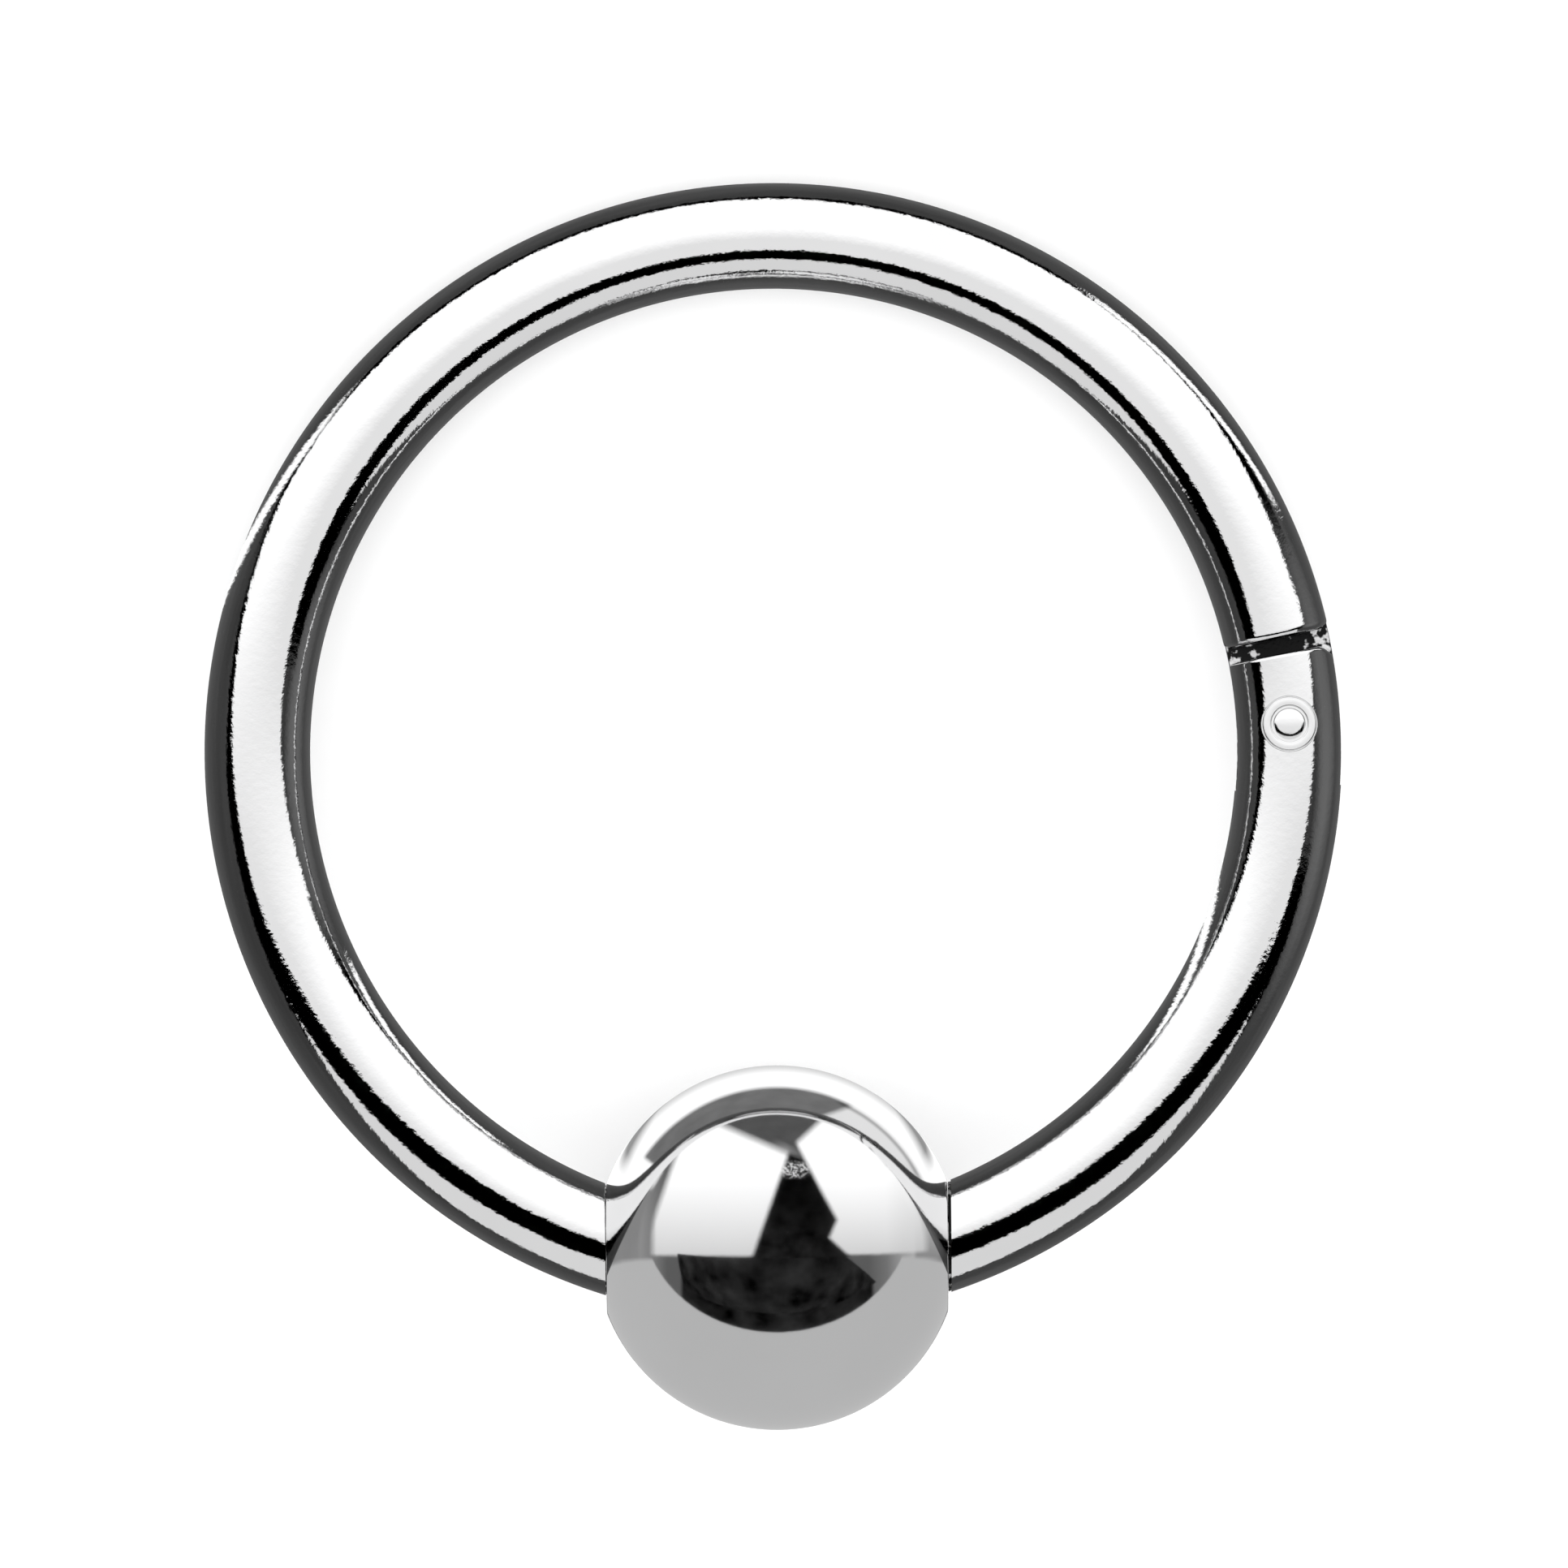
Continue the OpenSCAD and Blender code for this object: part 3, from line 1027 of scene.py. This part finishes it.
def reflected_by(obj, material, group):
    """Gives a stage object its light, and keeps it out of everything but the polish of a group."""
    obj.data.materials.append(material)
    material.cycles.emission_sampling = "NONE"
    obj.visible_camera = False
    obj.visible_diffuse = False
    obj.visible_transmission = False
    obj.visible_volume_scatter = False
    obj.visible_shadow = False
    obj.light_linking.receiver_collection = group


def dome(name, radius, pattern, group):
    """A big sphere about the ring that lights one group of pieces and lets other light through."""
    shape = bmesh.new()
    bmesh.ops.create_icosphere(shape, subdivisions=DOME_SUBDIVISIONS, radius=radius)
    obj = object_from(name, shape)
    obj.matrix_world = Matrix.Translation(CENTRE) @ AXES
    material, graph = new_material(name)
    unit = graph.node("ShaderNodeVectorMath", {"operation": "NORMALIZE"}, {0: graph.place()})
    light = graph.node("ShaderNodeEmission", {}, {"Strength": pattern(graph, unit.outputs[0])})
    clear = graph.node("ShaderNodeBsdfTransparent", {}, {})
    both = graph.node("ShaderNodeAddShader", {}, {0: light.outputs[0], 1: clear.outputs[0]})
    graph.node("ShaderNodeOutputMaterial", {}, {"Surface": both.outputs[0]})
    reflected_by(obj, material, group)


def reach(place, line):
    """How far a place lies inside a straight line, which has a weight for each of its parts and an offset."""
    *weights, offset = line
    return sum((part * weight for part, weight in zip(place, weights) if weight), offset)


def past(place, edge):
    """1 where a place is past a soft edge and 0 before it."""
    *line, softness = edge
    return reach(place, line).edge(softness)


def bounded(place, edges):
    """1 where a place is past every edge of a shape."""
    return math.prod(past(place, edge) for edge in edges)


def fades(value, middle, steepness):
    """1 where a value is at its middle, falling to 0 on both sides."""
    return (1 - abs(value - middle) * steepness).held()


def mirror_ball(right, up, towards):
    """Where a mirror ball in front of the camera would show a direction: across, height and distance out."""
    shrink = (towards * 2 + 2).most(NEARLY_ZERO).root()
    across = right / shrink
    height = up / shrink
    return across, height, (across * across + height * height).root()


def wire_surroundings(graph, direction):
    """What the wire sees: a white tent above, a pale table below it, and dark behind."""
    right, up, towards = by_side = graph.parts(direction)
    by_width = (abs(right), up, towards)
    ball = mirror_ball(right, up, towards)
    inside = reach(by_width, TENT_SIDE)
    corner = reach(by_side, TENT_CORNER).most(reach(by_side, TENT_LOW_CORNER)).most(-right)
    back = reach(by_side, TENT_BACK)
    tent = inside.edge(TENT_SOFTNESS) * corner.edge(TENT_SOFTNESS) * back.edge(TENT_SOFTNESS)
    table = bounded(by_width, WIRE_TABLE)
    shade = (TENT_SHADE + inside.held() * TENT_SHADE_RISE).least(1)
    white = (SOFT_WHITE + (WHITE - SOFT_WHITE) * reach(by_side, TENT_WHITE_RISE).held()) * shade
    black = (bounded(by_side, BLACK_SIDE) + bounded(by_side, BLACK_TOP) + bounded(by_side, BLACK_LEFT)).held()
    lamps = (bounded(ball, RIGHT_LAMP) + bounded(ball, LEFT_LAMP)).held()
    haze = (graph.noise(direction, HAZE_SCALE) * 2 - 1) * HAZE
    far_out = (ball[-1] - PALE_OUT).most(0)
    lighter = far_out * far_out + (right - PALE_RIGHT).most(0) * PALE_RIGHT_GREY
    dark = (DARK_GREY + haze + lighter) * (1 - black) * (1 - lamps) + lamps * WHITE
    return tent * white + table * TABLE_GREY + (1 - tent) * (1 - table) * dark


def smoke(graph, place, distance):
    """The faint cloudiness of what is nearly black, at a distance from the ring."""
    return (graph.noise(place, SMOKE_SCALE / distance) - SMOKE_START).most(0) * SMOKE


def softboxes(ball):
    """The bead's two softboxes, at its left and its right."""
    foot = reach(ball, RIGHT_BOX_FOOT).least(reach(ball, RIGHT_BOX_TOE))
    right_box = (
        bounded(ball, RIGHT_BOX)
        * reach(ball, RIGHT_BOX_SIDE).most(foot).edge(BOX_SOFTNESS)
        * (reach(ball, RIGHT_BOX_OUT).most(BOX_OUT) - ball[-1]).edge(BOX_SOFTNESS)
        * (1 - reach(ball, RIGHT_BOX_DIMMING).most(0))
    )
    return bounded(ball, LEFT_BOX), right_box


def band_greys(ball, cloud):
    """The greys of the band round the softboxes: shaded in the middle, pale at both ends, with a crease."""
    top = reach(ball, BAND_SHADE_TOP).most(-ball[0])
    shaded = past(ball, BAND_SHADE) * top.edge(BAND_SHADE_SOFTNESS)
    left_end = past(ball, LEFT_END) * (LEFT_END_GREY + past(ball, LEFT_END_TOP))
    right_end = past(ball, RIGHT_END) * reach(ball, RIGHT_END_RISE).least(RIGHT_END_GREY)
    greys = shaded * (BAND_GREY + cloud) + (1 - shaded) * (left_end + right_end)
    return greys * (1 - bounded(ball, CREASE) * CREASE_DEPTH)


def sparks(graph, direction, ball):
    """The few bright specks in the dark gap between the softboxes."""
    away = [(part - middle) * (part - middle) for part, middle in zip(ball, SPARKS_AT)]
    near = (SPARKS_REACH - reach(away, (*SPARKS_THINNESS, 0))).held()
    return (graph.noise(direction, SPARKS_SCALE) - SPARKS_START).edge(SPARKS_SOFTNESS) * near


def bead_surroundings(graph, direction):
    """What the bead sees: two softboxes with a dark gap between, and a pale table below."""
    right, up, towards = graph.parts(direction)
    ball = across, height, out = mirror_ball(right, up, towards)
    aside = abs(across)
    both_sides = (aside, height, out)
    left_box, right_box = softboxes(ball)
    glow = BOX_GREY + BOX_GLOW * reach(ball, BOX_GLOW_RISE).held()
    unlit = (1 - left_box) * (1 - right_box)
    table = bounded((right, up, towards), BEAD_TABLE)
    cloud = (graph.noise(direction, CLOUDS_SCALE) - 0.5) * CLOUDS

    # What the boxes stand against
    foot = reach(ball, SIDES_FOOT) - past(ball, ABOVE_TABLE)
    beside = (aside - SIDES_FROM).most(foot).edge(CRISP)
    sides = beside * (1 - table) * unlit * (BOX_OUT - out).edge(CRISP)
    side_grey = SIDES_GREY + reach(both_sides, SIDES_RISE).held() + reach(ball, RIGHT_SIDE_RISE).most(0)

    # What is between the boxes
    lens = bounded(ball, LENS) * unlit
    bridge = fades(reach(ball, BRIDGE_LINE), 0, BRIDGE_THINNESS) * fades(across, BRIDGE_AT, BRIDGE_SHORTNESS)

    # What is round the boxes
    upper = past(ball, UPPER) * (1 - table)
    band_out = BAND_OUT + past(ball, LOWER)
    band = (out - BOX_OUT).edge(CRISP) * (band_out - out).edge(CRISP) * upper * (1 - right_box)
    behind = (out - band_out).edge(CRISP) * upper
    rim_slant = (aside - RIM_FROM).most(0) * RIM_SLANT
    rim = (out - RIM_OUT + rim_slant).edge(RIM_SOFTNESS) * upper * past(both_sides, RIM_TOP)
    smoke_seen = reach(ball, SMOKE_RISE).held() * (1 - table) * (1 - sides)
    return (
        (left_box + right_box) * glow
        + table * BEAD_TABLE_GREY
        + sides * side_grey
        + lens * (LENS_GREY + cloud * LENS_CLOUDS)
        + bridge * unlit * BRIDGE_GREY
        + band * band_greys(ball, cloud)
        + behind * (WHITE - rim * RIM_DEPTH)
        + smoke_seen * unlit * smoke(graph, direction, 1)
        + sparks(graph, direction, ball) * unlit
    )


def flag(name, corners, group):
    """A black card in front of the ring, a little smoky to a group."""
    mesh = bpy.data.meshes.new(name)
    mesh.from_pydata(corners, [], [(0, 1, 2, 3)])
    mesh.transform(PLACE)
    material, graph = new_material(name)
    card = graph.node("ShaderNodeEmission", {}, {"Strength": smoke(graph, graph.place(), FLAG_DISTANCE)})
    graph.node("ShaderNodeOutputMaterial", {}, {"Surface": card.outputs[0]})
    reflected_by(new_object(name, mesh), material, group)


for_wires = receivers("wire", wires)
for_beads = receivers("bead", beads)
dome("wire dome", WIRE_DOME_R, wire_surroundings, for_wires)
dome("bead dome", BEAD_DOME_R, bead_surroundings, for_beads)
flag("black flag", FLAG_CORNERS, for_beads)


def floor():
    """The pale floor, which the polish doesn't pick up."""
    shape = bmesh.new()
    bmesh.ops.create_circle(shape, cap_ends=True, segments=FLOOR_SIDES, radius=FLOOR_R)
    obj = object_from("floor", shape)
    material, graph = new_material("pale floor")
    matt = graph.node("ShaderNodeBsdfDiffuse", {}, {"Color": (FLOOR_TONE, FLOOR_TONE, FLOOR_TONE, 1)})
    graph.node("ShaderNodeOutputMaterial", {}, {"Surface": matt.outputs[0]})
    obj.data.materials.append(material)
    obj.visible_glossy = False


def world():
    """Even white light on the floor, and nothing in the polish but the domes."""
    made = bpy.data.worlds.new("studio")
    bpy.context.scene.world = made
    made.use_nodes = True
    graph = Graph(made.node_tree)
    ray = graph.node("ShaderNodeLightPath", {}, {})
    glossy = Number(graph, ray.outputs["Is Glossy Ray"])
    light = graph.node("ShaderNodeBackground", {}, {"Strength": FLOOR_LIGHT * (1 - glossy)})
    graph.node("ShaderNodeOutputWorld", {}, {"Surface": light.outputs[0]})


def camera():
    """The photograph's view: square to the ring's plane, from above."""
    lens = bpy.data.cameras.new("camera")
    obj = bpy.data.objects.new("camera", lens)
    bpy.context.scene.collection.objects.link(obj)
    right = RIGHT * math.cos(RING_TURN) - UP * math.sin(RING_TURN)
    up = RIGHT * math.sin(RING_TURN) + UP * math.cos(RING_TURN)
    off_right = (PHOTO_SIDE / 2 - RING_AT[0]) / PIXELS_PER_MM
    off_up = (RING_AT[1] - PHOTO_SIDE / 2) / PIXELS_PER_MM
    aim = CENTRE + (right * off_right + up * off_up) * MM
    turned = Matrix((right, up, TOWARDS)).transposed().to_4x4()
    obj.matrix_world = Matrix.Translation(aim + TOWARDS * CAMERA_DISTANCE * MM) @ turned
    lens.sensor_width = SENSOR
    lens.lens = SENSOR * CAMERA_DISTANCE * PIXELS_PER_MM / PHOTO_SIDE
    lens.clip_start = CLIP_START
    bpy.context.scene.camera = obj


floor()
world()
camera()
bpy.context.scene.view_settings.view_transform = "Standard"
